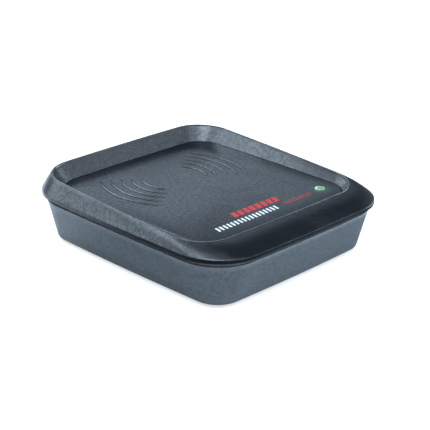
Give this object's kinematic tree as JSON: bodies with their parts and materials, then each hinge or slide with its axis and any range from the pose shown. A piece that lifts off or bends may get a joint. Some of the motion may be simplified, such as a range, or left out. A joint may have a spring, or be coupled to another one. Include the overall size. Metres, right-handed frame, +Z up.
{
  "type": "desktop reader pad",
  "caption": "Flat square reader pad with a raised tilted rim around a shallow tray, a drafted lower case, wave ridges on the tray floor and one status light",
  "frame": {"origin": "middle of the bounding box in plan, on the surface the feet stand on", "axes": "+Z up; the low front lip of the tray faces -Y; +X is to the right of someone facing the front"},
  "size_m": [0.1394, 0.1526, 0.04],
  "materials": {
    "lower_case_plastic": "slate grey moulded ABS, fine spark texture",
    "upper_case_plastic": "charcoal moulded ABS, fine satin texture",
    "tray_plastic": "dark grey moulded ABS, fine matt texture",
    "lens_green": "clear pale green acrylic, polished",
    "led_package": "white moulded chip LED",
    "adhesive_tape": "double-sided tissue tape",
    "black_plastic": "black moulding compound",
    "connector_plastic": "natural nylon",
    "copper": "enamelled copper wire",
    "ferrite": "sintered ferrite",
    "board_green": "green solder mask over glass epoxy",
    "plated_steel": "tin-plated steel",
    "screw_steel": "zinc-plated steel",
    "capacitor_can": "aluminium can",
    "ceramic": "ceramic body",
    "foot_rubber": "black moulded rubber",
    "label_film": "blank grey polyester film"
  },
  "bodies": {
    "root": {"lower_case": "lower_case_plastic", "upper_case": "upper_case_plastic", "tray_panel": "tray_plastic", "panel_tape": "adhesive_tape", "light_pipe": "lens_green", "status_led": "led_package", "coil_former": "black_plastic", "coil_winding": "copper", "coil_tape": "adhesive_tape", "ferrite_plate": "ferrite", "coil_lead_a": "copper", "coil_lead_b": "copper", "coil_connector": "connector_plastic", "main_board": "board_green", "usb_socket": "plated_steel", "controller_chip": "black_plastic", "coil_driver": "black_plastic", "radio_chip": "black_plastic", "radio_crystal": "plated_steel", "radio_shield": "plated_steel", "radio_antenna": "copper", "clock_crystal": "plated_steel", "voltage_regulator": "black_plastic", "power_inductor": "ferrite", "input_capacitor": "capacitor_can", "supply_capacitor": "capacitor_can", "tuning_capacitor": "connector_plastic", "esd_protector": "black_plastic", "ceramic_capacitor_1": "ceramic", "ceramic_capacitor_2": "ceramic", "ceramic_capacitor_3": "ceramic", "ceramic_capacitor_4": "ceramic", "case_screw_1": "screw_steel", "case_screw_2": "screw_steel", "case_screw_3": "screw_steel", "case_screw_4": "screw_steel", "board_screw_1": "screw_steel", "board_screw_2": "screw_steel", "board_screw_3": "screw_steel", "board_screw_4": "screw_steel", "foot_1": "foot_rubber", "foot_2": "foot_rubber", "foot_3": "foot_rubber", "foot_4": "foot_rubber", "rating_label": "label_film"}
  },
  "joints": []
}
